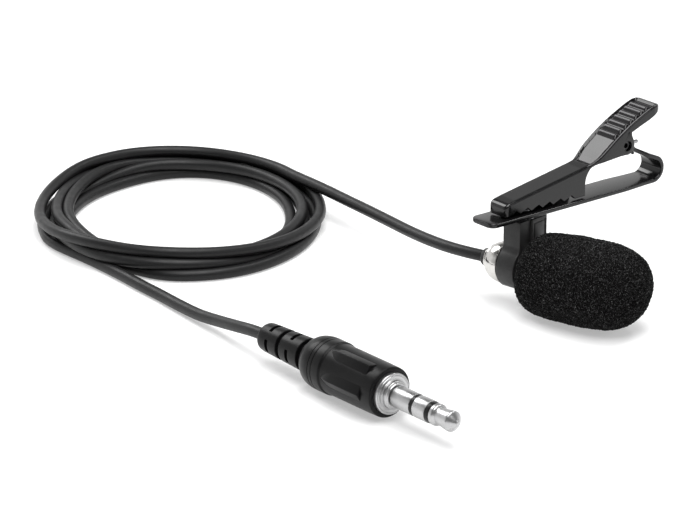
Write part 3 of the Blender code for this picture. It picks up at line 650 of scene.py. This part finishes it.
def make_windscreen():
    """The outer skin runs round the front, back to the rear rim and into the bore."""
    profile = []
    steps = 230
    for k in range(steps + 1):
        t = k / steps
        share = 0.5 - 0.5 * math.cos(math.pi * t)
        profile.append((FOAM_START + FOAM_LENGTH * share, FOAM_R * foam_radius(share)))
    profile[-1] = (profile[-1][0], 0.0)
    length = [0.0]
    for a, b in zip(profile, profile[1:]):
        length.append(length[-1] + math.hypot(b[0] - a[0], b[1] - a[1]))
    rows = 150
    wanted = np.linspace(0, length[-1], rows + 1)
    xs = np.interp(wanted, length, [p[0] for p in profile])
    rs = np.interp(wanted, length, [p[1] for p in profile])
    bore = BARREL_R + 0.15
    inner = [(FOAM_BORE_END, bore), (FOAM_START + 0.9, bore), (FOAM_START + 0.25, bore + 0.2),
             (FOAM_START - 0.02, bore + 0.6), (FOAM_START - 0.06, (bore + rs[0]) / 2)]
    outline = [(FOAM_BORE_END, 0.0)] + inner + list(zip(xs, rs))
    bm = turn_bmesh(outline, 220, FOAM_LIFT, closed=False)
    bm.normal_update()
    sample_from = Vector((3.1, 1.7, 9.2))
    middle = Vector((FOAM_START + FOAM_LENGTH / 2, 0, FOAM_LIFT))
    for vert in bm.verts:
        radial = vert.co - Vector((middle.x + (vert.co.x - middle.x) * 0.75, 0, FOAM_LIFT))
        if vert.co.x < FOAM_START + 1.0 and radial.yz.length < bore + 0.5:
            continue
        distance = noise.voronoi(vert.co * PORES_PER_MM + sample_from)[0]
        pore = min(1.0, (distance[1] - distance[0]) / 0.45)
        coarse = noise.noise(vert.co * 0.35) * 0.10 + noise.noise(vert.co * 2.3) * 0.12
        vert.co += vert.normal * (coarse - PORE_DEPTH * pore ** 1.5 + 0.06)
        # the foam sits a little askew on the barrel
        lean = max(0.0, vert.co.x - FOAM_START)
        vert.co.z += FOAM_SWING[1] * lean - FOAM_SINK
        vert.co.y += FOAM_SWING[0] * lean
        if vert.co.z + MIC[2] < FLOOR_GAP:
            vert.co.z = FLOOR_GAP - MIC[2]
    return finish_mesh("windscreen_foam", bm, MATERIALS["foam"], mic_matrix(), 180)


# ---- Microphone -----------------------------------------------------------------------
def make_housing():
    """The barrel, the domed cap behind it and the boot that the cord leaves by."""
    collar, groove = 3.3, BARREL_R - 0.12
    outline = [(0.0, 2.25), (0.0, BARREL_R)]
    outline += rounded([(0.0, BARREL_R), (RING_WIDTH + 0.3, BARREL_R), (RING_WIDTH + 0.3, collar),
                        (FOAM_START - 0.3, collar), (FOAM_START - 0.3, BARREL_R),
                        (GRILLE_START, BARREL_R), (GRILLE_START, groove), (13.05, groove),
                        (13.05, BARREL_R), (13.6, BARREL_R), (13.6, 2.25)],
                       [0, 0.05, 0.12, 0.12, 0.05, 0.03, 0.03, 0.03, 0.03, 0.25, 0])[1:]
    housing = turned("microphone_housing", outline, MATERIALS["plastic"], mic_matrix())
    lip = 1.9
    top = math.degrees(math.acos(lip / DOME_R))
    dome = rounded([(-0.3, 2.3), (-0.3, DOME_R - 0.12), (-0.42, DOME_R), (-0.95, DOME_R)],
                   [0, 0.1, 0.06, 0])
    for reach, across in arc((0, 0), DOME_R, 90, 90 - top, 40)[1:]:
        angle = math.degrees(math.atan2(reach, across))
        depth = 0.07 if 32 < angle < 36 or 39 < angle < 41 else 0.0
        dome.append((-0.95 - reach * (1 - depth / DOME_R), across * (1 - depth / DOME_R)))
    rim = dome[-1]
    dome += rounded([rim, (rim[0] - 0.22, lip + 0.02), (rim[0] - 0.32, lip - 0.22),
                     (rim[0] + 0.1, lip - 0.4), (-2.4, 1.75), (-1.0, 2.6), (-0.3, 2.3)], 0.1)[1:-1]
    cap = turned("rear_cap", dome, MATERIALS["dome_chrome"], mic_matrix(), 128)
    spigot = turned("rear_cap_spigot", rounded([(-0.6, 1.5), (-0.6, 1.95), (1.6, 1.95), (1.6, 1.5)], 0.05),
                    MATERIALS["chrome"], mic_matrix())
    spigot.parent = cap
    outline = rounded([(-3.2, 1.27), (-3.2, 1.58), (-4.75, 1.5), (-5.05, 1.35), (-5.1, 1.08),
                       (-4.6, 1.0), (-3.2, 1.27)], 0.12)[:-1]
    return housing, cap, turned("cable_boot", outline, MATERIALS["rubber"], mic_matrix())


def make_grille():
    """A perforated front plate, dished a little."""
    edge, hole_r = 1.93, 0.2
    outline = rounded([(GRILLE_START, 0.0), (GRILLE_START, edge - 0.1), (12.95, edge), (13.15, edge),
                       (13.22, edge - 0.1), (13.28, 0.0)], 0.05)
    plate = turned("front_mesh", outline, MATERIALS["steel"], mic_matrix(), 64)
    cutters = []
    for ring, count in ((0, 1), (0.62, 6), (1.24, 12)):
        for k in range(count):
            a = 2 * math.pi * k / count
            hole = [(ring * math.cos(a) + hole_r * math.cos(b), ring * math.sin(a) + hole_r * math.sin(b))
                    for b in (2 * math.pi * j / 12 for j in range(12))]
            cutters.append(prism("hole", hole, 12.0, 14.0, MATERIALS["steel"], mic_matrix()))
    return cut(plate, cutters)


# ---- Holder ---------------------------------------------------------------------------
def make_holder():
    """The snap ring and its post, with a framed block on the post's front."""
    top = SWIVEL[2] - MIC[2] - 0.5
    plastic, place = MATERIALS["plastic"], mic_matrix()
    outline = arc((0, 0), RING_R, 128, 390, 72)
    outline += rounded([(3.161, 1.825), (3.9, 2.9), (4.7, 3.7), (4.7, top)], 0.8)[1:-1]
    outline += [(4.7, top), (-1.8, top)]
    outline += rounded([(-1.8, top), (-1.8, 3.55), (-2.247, 2.876)], [0, 1.3, 0], 8)[1:-1]
    holder = prism("holder_body", outline, 0.0, RING_WIDTH, plastic, place)
    bevelled(holder, 0.16, 3, 50)
    hole_r = BARREL_R + 0.12
    cut(holder, [finish_mesh("bore", turn_bmesh([(-2, 0), (-2, hole_r), (7, hole_r), (7, 0)], 96),
                             plastic, place)])
    block = prism("holder_block", box_outline(0.75, 4.62, 3.9, top - 0.02), RING_WIDTH - 0.2,
                  RING_WIDTH + 0.42, plastic, place)
    bevelled(block, 0.14, 3)
    cut(block, [prism("pocket", box_outline(1.15, 4.3, 4.3, top - 0.55), RING_WIDTH + 0.28,
                      RING_WIDTH + 1.0, plastic, place)])
    pad = prism("holder_pad", box_outline(1.45, 4.0, 4.6, top - 0.85), RING_WIDTH + 0.1,
                RING_WIDTH + 0.4, plastic, place)
    bevelled(pad, 0.1, 2)
    block.parent = holder
    pad.parent = holder
    return holder


def make_rivet():
    head = [(0.78 + 0.55 * math.sin(math.radians(a)), 1.2 * math.cos(math.radians(a)))
            for a in range(0, 90, 15)]
    bm = turn_bmesh([(-3.2, 0.0), (-3.2, 0.8), (0.78, 0.8)] + head + [(1.33, 0.0)], 48)
    bmesh.ops.rotate(bm, verts=bm.verts[:], cent=(0, 0, 0), matrix=Matrix.Rotation(-math.pi / 2, 3, "Y"))
    return finish_mesh("rivet", bm, MATERIALS["steel"], clip_matrix())


# ---- Clip -----------------------------------------------------------------------------
def strip_half_width(along, on_arm):
    """Half the lower jaw's width: its tip is rounded, and the folded arm narrows towards the hinge."""
    if on_arm:
        back = min(1.0, max(0.0, (along - PIVOT[0] - 2.6) / 3.6))
        return 1.55 + (2.45 - 1.55) * back * back * (3 - 2 * back)
    corner = TIP_CORNER
    from_tip = along - JAW_TIP
    if from_tip >= corner:
        return STRIP_HALF - 0.35 * min(1.0, max(0.0, (along - 20.0) / 5.0))
    return STRIP_HALF - corner + math.sqrt(max(0.0, corner ** 2 - (corner - from_tip) ** 2))


def strip_section(half, thick, edge=0.2):
    """A flat bar's cross-section with rounded edges, as (across, through) points."""
    half_t = thick / 2
    corners = []
    for cx, ct, first in ((half - edge, half_t - edge, 0), (-half + edge, half_t - edge, 90),
                          (-half + edge, -half_t + edge, 180), (half - edge, -half_t + edge, 270)):
        corners += arc((cx, ct), edge, first, first + 90, 4)
    return corners


def make_lower_jaw():
    """One strip of sheet steel, folded back over itself, with a lug on each side of the hinge."""
    path = []
    for k in range(13):
        path.append((JAW_TIP + TIP_CORNER * (1 - math.cos(math.pi / 2 * k / 12)), STRIP / 2, False))
    for s in np.linspace(-7.5, BEND_S - 0.4, 40):
        path.append((s, STRIP / 2, False))
    for s, z in arc((BEND_S, BEND_R + STRIP / 2), BEND_R, -90, 90 - math.degrees(ARM_RISE), 28):
        path.append((s, z, True))
    for reach in np.linspace(6.2, 1.9, 18):
        path.append((PIVOT[0] + reach * math.cos(ARM_RISE), PIVOT[1] - reach * math.sin(ARM_RISE),
                     True))
    sections = []
    for index, (s, z, on_arm) in enumerate(path):
        before, after = path[max(0, index - 1)], path[min(len(path) - 1, index + 1)]
        ahead = Vector((after[0] - before[0], after[1] - before[1])).normalized()
        across = Vector((-ahead.y, ahead.x))
        half = max(0.35, strip_half_width(s, on_arm))
        sections.append([(x, s + t * across.x, z + t * across.y)
                         for x, t in strip_section(half, STRIP)])
    jaw = finish_mesh("clip_lower_jaw", loft_bmesh(sections), MATERIALS["paint"], clip_matrix(), 50)
    for side in (-1, 1):
        rise = -math.degrees(ARM_RISE)
        end = (PIVOT[0] + 3.4 * math.cos(ARM_RISE), PIVOT[1] - 3.4 * math.sin(ARM_RISE))
        reach = (math.sin(ARM_RISE) * 0.34, math.cos(ARM_RISE) * 0.34)
        outline = arc(PIVOT, 1.25, rise + 60, rise + 300, 28)
        outline += [(end[0] - reach[0], end[1] - reach[1]), (end[0] + reach[0], end[1] + reach[1])]
        lug = prism("clip_lug_right" if side > 0 else "clip_lug_left", outline, side * 1.3 - 0.25,
                    side * 1.3 + 0.25, MATERIALS["paint"], clip_matrix())
        bevelled(lug, 0.08, 2, 50)
        lug.parent = jaw
    return jaw


# The upper jaw's top, as (along the clip, height), and its half width, as (along the clip, across).
TOP_LINE = [(-5.85, 2.2), (-5.8, 2.45), (-5.65, 2.72), (-5.35, 2.95), (-4.9, 3.13), (-3.6, 3.4),
            (10.6, 5.72), (11.3, 5.86), (11.9, 5.98), (12.4, 6.1), (12.9, 6.38), (13.7, 6.95),
            (14.7, 7.72), (15.8, 8.52), (17.0, 9.36), (18.0, 10.0), (19.1, 10.65), (20.1, 11.2),
            (21.2, 11.75), (22.3, 12.25), (23.4, 12.75), (24.5, 13.2), (25.5, 13.52), (26.3, 13.62),
            (26.8, 13.55), (27.2, 13.3), (27.4, 12.95)]
WIDTHS = [(-5.85, 1.5), (-5.75, 1.75), (-5.55, 1.95), (-5.2, 2.08), (-4.8, 2.12), (11.6, 2.14),
          (12.4, 2.2), (13.2, 2.45), (14.0, 2.7), (14.8, 2.84), (16.0, 2.88), (24.6, 2.88),
          (25.6, 2.85), (26.3, 2.72), (26.8, 2.45), (27.15, 2.1), (27.4, 1.7)]
ARCH = [(11.2, 2.9), (11.25, 3.4), (11.35, 3.85), (11.55, 4.3), (11.8, 4.75), (12.1, 5.15), (12.5, 5.5),
        (13.1, 5.83), (13.7, 6.0), (15.4, 6.2), (17.5, 6.35), (18.6, 6.42)]
HANDLE_RIM = [(20.61, 9.95), (22.4, 10.62), (24.6, 11.36), (25.6, 11.8), (26.4, 12.2), (27.0, 12.55),
              (27.4, 12.85)]
TEETH, TOOTH_PITCH, TOOTH_FRONT, TOOTH_STEEP = 6, 2.35, 9.05, 0.78
EAR_R, EAR_END = 1.48, 20.6
RIBS, RIB_PITCH, RIB_START = 7, 1.13, 17.85
PANEL_START, PANEL_END, PANEL_RIM = 12.35, 26.1, 0.62


def line_at(points, s):
    return float(np.interp(s, [p[0] for p in points], [p[1] for p in points]))


def flange_bottom(s):
    """Lower edge of the upper jaw's side flanges: teeth, the arch, the ear and the handle's rim."""
    tip, valley = STRIP + 0.3, STRIP + 0.95
    if s <= ARCH[0][0]:
        for tooth in range(TEETH):
            front = TOOTH_FRONT - tooth * TOOTH_PITCH
            if front - TOOTH_STEEP < s <= front:
                return tip + (valley - tip) * (front - s) / TOOTH_STEEP
            if front - TOOTH_PITCH < s <= front - TOOTH_STEEP:
                return valley + (tip - valley) * (front - TOOTH_STEEP - s) / (TOOTH_PITCH - TOOTH_STEEP)
        return tip
    if s <= ARCH[-1][0]:
        return line_at(ARCH, s)
    if s <= PIVOT[0]:
        return PIVOT[1] - EAR_R
    if s <= EAR_END:
        return PIVOT[1] - math.sqrt(max(0.0, EAR_R ** 2 - (s - PIVOT[0]) ** 2))
    return line_at(HANDLE_RIM, s)


def relief(s, d, half):
    """Height of the pressed detail on the top face, at s along and d across the clip."""
    if s < 11.6:
        return 0.0
    rim = half - PANEL_RIM
    inside = 1 / (1 + math.exp((abs(d) - rim) / 0.05))
    fade = 1 / (1 + math.exp(-(s - PANEL_START) / 0.1)) / (1 + math.exp((s - PANEL_END) / 0.08))
    depth = -0.34 * inside * fade
    rib = (s - RIB_START) / RIB_PITCH
    ridge = abs(math.cos(math.pi * rib)) if -0.5 < rib < RIBS - 0.5 else 0.0
    across = 1 / (1 + math.exp((abs(d) - rim + 0.22) / 0.04))
    return depth + 0.4 * ridge * across * fade


def make_upper_jaw():
    """One folded channel of sheet steel, lofted as closed sections from the nose to the handle's end."""
    nose, handle_end = TOP_LINE[0][0], TOP_LINE[-1][0]
    nose_wall, end_wall = nose + 0.6, handle_end - 0.8
    stations = list(np.linspace(nose, -4.6, 14)) + list(np.linspace(-4.5, 11.3, 90))
    stations += list(np.linspace(11.4, 26.3, 205)) + list(np.linspace(26.35, handle_end, 18))
    # a pair of sections close together wherever the flange or the wall changes in a step
    stations += [11.199, 11.201, EAR_END, HANDLE_RIM[0][0]]
    stations += [TOOTH_FRONT - k * TOOTH_PITCH + e for k in range(TEETH) for e in (-0.001, 0.001)]
    stations += [TOOTH_FRONT - k * TOOTH_PITCH - TOOTH_STEEP for k in range(TEETH)]
    stations += [nose_wall, nose_wall + 0.001, end_wall, end_wall + 0.001]
    stations = sorted(set(round(float(s), 4) for s in stations))
    sections = []
    for s in stations:
        half = line_at(WIDTHS, s)
        top = line_at(TOP_LINE, s)
        bottom = min(flange_bottom(s), top - 0.05)
        bend = min(SHEET_BEND, (top - bottom) * 0.45)
        solid = s < nose_wall + 0.0005 or s > end_wall + 0.0005
        edge = 0.12 * min(1, (top - bottom) / 0.6)
        points = [(-half + 0.12, s, bottom), (-half, s, bottom + edge)]
        for x, z in arc((-half + bend, top - bend), bend, 180, 90, 7):
            points.append((x, s, z))
        for d in np.linspace(-half + bend, half - bend, 34)[1:-1]:
            points.append((d, s, top + relief(s, d, half)))
        for x, z in arc((half - bend, top - bend), bend, 90, 0, 7):
            points.append((x, s, z))
        points += [(half, s, bottom + edge), (half - 0.12, s, bottom)]
        wall = half - SHEET
        slope = (line_at(TOP_LINE, s + 0.2) - line_at(TOP_LINE, s - 0.2)) / 0.4
        under = top - (SHEET + 0.15) * math.sqrt(1 + slope * slope)
        roof = bottom if solid else max(bottom, under)
        points += [(wall, s, bottom), (wall, s, roof), (-wall, s, roof), (-wall, s, bottom)]
        sections.append(points)
    bm = loft_bmesh(sections)
    bmesh.ops.dissolve_degenerate(bm, dist=WELD, edges=bm.edges[:])
    jaw = finish_mesh("clip_upper_jaw", bm, MATERIALS["paint"], clip_matrix(), 45)
    for side in (-1, 1):
        outline = arc(PIVOT, 1.5, -100, 12, 24)
        outline += [(20.95, 9.0), (20.7, 9.5), (20.66, 10.05), (19.9, 10.4), (19.2, 9.0), (19.2, 7.0)]
        near, far = sorted((side * (2.88 - SHEET), side * 2.89))
        ear = prism("clip_ear_right" if side > 0 else "clip_ear_left", outline, near, far,
                    MATERIALS["paint"], clip_matrix())
        bevelled(ear, 0.07, 2, 50)
        ear.parent = jaw
    for piece in [jaw] + list(jaw.children):
        hole = turn_bmesh([(-6, 0), (-6, PIN_HOLE_R), (6, PIN_HOLE_R), (6, 0)], 40)
        bmesh.ops.translate(hole, verts=hole.verts[:], vec=(0, PIVOT[0], PIVOT[1]))
        cut(piece, [finish_mesh("ear_hole", hole, MATERIALS["paint"], clip_matrix())])
    return jaw


def make_hinge():
    """The hollow pin and the torsion spring round it, whose end shows behind the ear."""
    half = 2.45
    outline = rounded([(-half, 0.42), (-half, 0.8), (half, 0.8), (half, 0.42), (-half, 0.42)],
                      [0, 0.12, 0.12, 0.1, 0])[:-1]
    pin = turn_bmesh(outline, 40)
    bmesh.ops.translate(pin, verts=pin.verts[:], vec=(0, PIVOT[0], PIVOT[1]))
    pin = finish_mesh("hinge_eyelet", pin, MATERIALS["dark_steel"], clip_matrix())
    # the spring's points are (across, along from the pin, above the pin)
    coil_r, turns, side = 1.12, 3.5, 0.8
    points = [(-side, 2.9, 1.15), (-side, 1.4, 1.2)]
    steps = int(turns * 24)
    for k in range(steps + 1):
        a = math.pi / 2 + 2 * math.pi * turns * k / steps
        points.append((-side + 2 * side * k / steps, coil_r * math.cos(a), coil_r * math.sin(a)))
    points += [(side, 1.2, -1.35), (side, 3.2, -2.4)]
    end = [(1.75, 0.9, 0.1), (1.75, 3.15, -0.02)]
    points, end = [[(x, PIVOT[0] + y, PIVOT[1] + z) for x, y, z in line] for line in (points, end)]
    spring = tube_mesh("hinge_spring", points, 0.22, MATERIALS["dark_steel"], clip_matrix(), 10)
    stub = tube_mesh("spring_leg", end, 0.29, MATERIALS["steel"], clip_matrix(), 14)
    bevelled(stub, 0.12, 3)
    stub.parent = spring
    return pin, spring


# ---- Plug -----------------------------------------------------------------------------
def make_relief():
    """The tapered boot, with a groove round it and two rows of slots."""
    bore, length, deep = 1.0, RELIEF_LENGTH, 0.6

    def radius(s):
        return 2.3 + 0.42 * s / length
    outline = [(0.0, bore)]
    outline += rounded([(0.0, bore), (0.0, 2.2), (0.9, radius(0.9)), (4.95, radius(5)),
                        (4.95, radius(5) - deep), (5.75, radius(5) - deep), (5.75, radius(5.6)),
                        (10.2, radius(10)), (10.2, radius(10) - deep - 0.1),
                        (length, radius(10) - deep - 0.1), (length, bore)],
                       [0, 1.0, 0.4, 0.15, 0.05, 0.05, 0.15, 0.15, 0.05, 0.0, 0], 6)[1:]
    body = turned("strain_relief_boot", outline, MATERIALS["plug_plastic"], plug_matrix(), 96)
    cutters = []
    for start in (2.2, 7.4):
        for tilt, half in ((8, 1.15), (98, 1.1), (188, 1.15), (278, 1.1)):
            slot = prism_bmesh(box_outline(-half, half, 1.62, 5.0), start, start + 0.75)
            bmesh.ops.rotate(slot, verts=slot.verts[:], cent=(0, 0, 0),
                             matrix=Matrix.Rotation(math.radians(tilt), 3, "X"))
            piece = finish_mesh("slot", slot, MATERIALS["plug_plastic"], plug_matrix())
            bevelled(piece, 0.15, 2)
            cutters.append(piece)
    return cut(body, cutters)


def make_plug_body():
    """The round grip, with a collar that has two fine grooves, and a long flat on its side."""
    start, end, groove = BODY_START, BODY_END, 4.19
    outline = [(start, 2.4)]
    outline += rounded([(start, 2.4), (start, 2.75), (11.9, 3.35), (13.0, 4.02), (14.2, 4.25),
                        (15.0, COLLAR_R), (15.0, groove), (15.14, groove), (15.14, COLLAR_R),
                        (15.75, COLLAR_R), (15.75, groove), (15.89, groove), (15.89, COLLAR_R),
                        (17.5, COLLAR_R), (17.75, 4.06), (27.5, 4.04), (end - 0.1, 3.98), (end, 3.6),
                        (end, 2.4)],
                       [0, 0.15, 0.5, 0.9, 0.6, 0.02, 0.02, 0.02, 0.02, 0.02, 0.02, 0.02, 0.02, 0.22,
                        0.15, 1.0, 0.3, 0.12, 0], 6)[1:]
    outline += [(end - 0.8, 2.35), (start + 0.5, 2.35)]
    body = turned("plug_shell", outline, MATERIALS["plug_plastic"], plug_matrix(), 128)
    # the flat on the side stands proud of the round body at its two long edges
    outline = [(-2.46, 3.93), (2.46, 3.93), (3.05, 2.7), (2.0, 1.0), (-2.0, 1.0), (-3.05, 2.7)]
    pad = loft_bmesh([[(s, u * share, v * share) for u, v in outline]
                      for s, share in ((18.3, 0.9), (19.3, 0.975), (20.4, 1.0), (27.35, 1.0))])
    bmesh.ops.rotate(pad, verts=pad.verts[:], cent=(0, 0, 0),
                     matrix=Matrix.Rotation(math.radians(58), 3, "X"))
    pad = finish_mesh("plug_flat", pad, MATERIALS["plug_plastic"], plug_matrix())
    bevelled(pad, 0.1, 3, 20)
    pad.parent = body
    return body


def make_contacts():
    """The jack's three contacts and the two insulators between them, from the shoulder to the tip."""
    chrome, black, place = MATERIALS["chrome"], MATERIALS["insulator"], plug_matrix()

    def from_shoulder(points):
        return [(SHOULDER + along, radius) for along, radius in points]
    flange = from_shoulder([(-0.85, 1.2), (-0.85, 3.25), (-0.16, 3.25), (-0.06, 3.15), (-0.06, 3.05),
                            (-0.14, 3.02), (-0.14, 2.93), (0, 2.86), (0, 2.42), (0.12, 2.4), (0.14, 2.3),
                            (0.7, 2.26), (0.8, 2.0), (0.98, 1.95), (1.02, 1.4), (1.28, 1.4),
                            (1.3, JACK_R), (5.36, JACK_R), (5.36, 1.2)])
    flange = rounded(flange, [0, 0.05, 0.06, 0.04, 0.02, 0.02, 0.02, 0.06, 0.05, 0.03, 0.03, 0.12, 0.08,
                              0.08, 0.02, 0.02, 0.05, 0.06, 0], 4)
    made = [turned("sleeve_contact", flange, chrome, place, 128)]
    for name, points, material in (
            ("first_insulator", [(5.34, 1.2), (5.34, 1.68), (6.12, 1.68), (6.12, 1.2)], black),
            ("ring_contact", [(6.1, 0.65), (6.1, JACK_R), (8.8, JACK_R), (8.8, 0.65)], chrome),
            ("second_insulator", [(8.78, 0.65), (8.78, 1.7), (9.72, 1.66), (9.72, 0.65)], black)):
        made.append(turned(name, rounded(from_shoulder(points), 0.06, 3), material, place, 96))
    tip = from_shoulder([(9.7, 0.0), (9.7, 1.62), (9.85, 1.7), (10.3, 1.7), (10.55, 1.62), (10.75, 1.34),
                         (10.9, 1.32), (13.2, 1.62), (13.55, 1.6), (14.45, 0.62), (14.66, 0.3),
                         (14.7, 0.0)])
    tip = rounded(tip, [0, 0.06, 0.08, 0.12, 0.12, 0.06, 0.15, 0.15, 0.12, 0.15, 0.1, 0], 5)
    made.append(turned("tip_contact", tip, chrome, place, 128))
    return made


# ---- Everything -----------------------------------------------------------------------
make_stage()
cord, cord_path, cord_length = make_cord()
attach(cord, "microphone")
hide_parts("mic_lead", "cable_coil", "plug_lead")

foam = make_windscreen()
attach(foam, "windscreen")
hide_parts("foam_windscreen")

housing, rear_cap, boot = make_housing()
lower_jaw = make_lower_jaw()
upper_jaw = make_upper_jaw()
eyelet, spring = make_hinge()
relief_boot = make_relief()
shell = make_plug_body()
contacts = make_contacts()
sleeve, first_insulator, ring, second_insulator, tip = contacts
for piece, body, node, slot in (
        (housing, "microphone", "mic_housing", "black_plastic"),
        (rear_cap, "microphone", "rear_dome", "chrome"),
        (boot, "microphone", "cable_grommet", "grommet_rubber"),
        (make_grille(), "microphone", "front_grille", "steel"),
        (make_holder(), "holder", "holder_ring", "holder_plastic"),
        (make_rivet(), "holder", "swivel_rivet", "rivet_steel"),
        (lower_jaw, "clip", "lower_jaw", "black_steel"),
        (upper_jaw, "clip_jaw", "upper_jaw", "black_steel"),
        (eyelet, "clip", "hinge_pin", "pin_steel"),
        (spring, "clip", "torsion_spring", "spring_steel"),
        (relief_boot, "microphone", "strain_relief", "relief_rubber"),
        (shell, "microphone", "plug_body", "plug_plastic"),
        (sleeve, "microphone", "plug_sleeve", "plug_chrome"),
        (first_insulator, "microphone", "sleeve_insulator", "insulator"),
        (ring, "microphone", "plug_ring", "plug_chrome"),
        (second_insulator, "microphone", "ring_insulator", "insulator"),
        (tip, "microphone", "plug_tip", "plug_chrome")):
    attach(piece, body)
    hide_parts(node)

CARRIED = {"electret_capsule": "aluminium", "capsule_boot": "rubber", "preamp_board": "board",
           "jfet_chip": "insulator", "signal_wire": "red", "ground_wire": "white", "cable_crimp": "brass",
           "cable_tail": "jacket", "rivet_washer": "steel", "plug_inner_mould": "rubber",
           "plug_cable_tail": "jacket", "plug_signal_wire": "red", "plug_ground_wire": "white"}
for node, finish in CARRIED.items():
    for material_slot in frame["nodes"][node].material_slots:
        material_slot.material = MATERIALS[finish]

print("cord length", round(cord_length, 4))
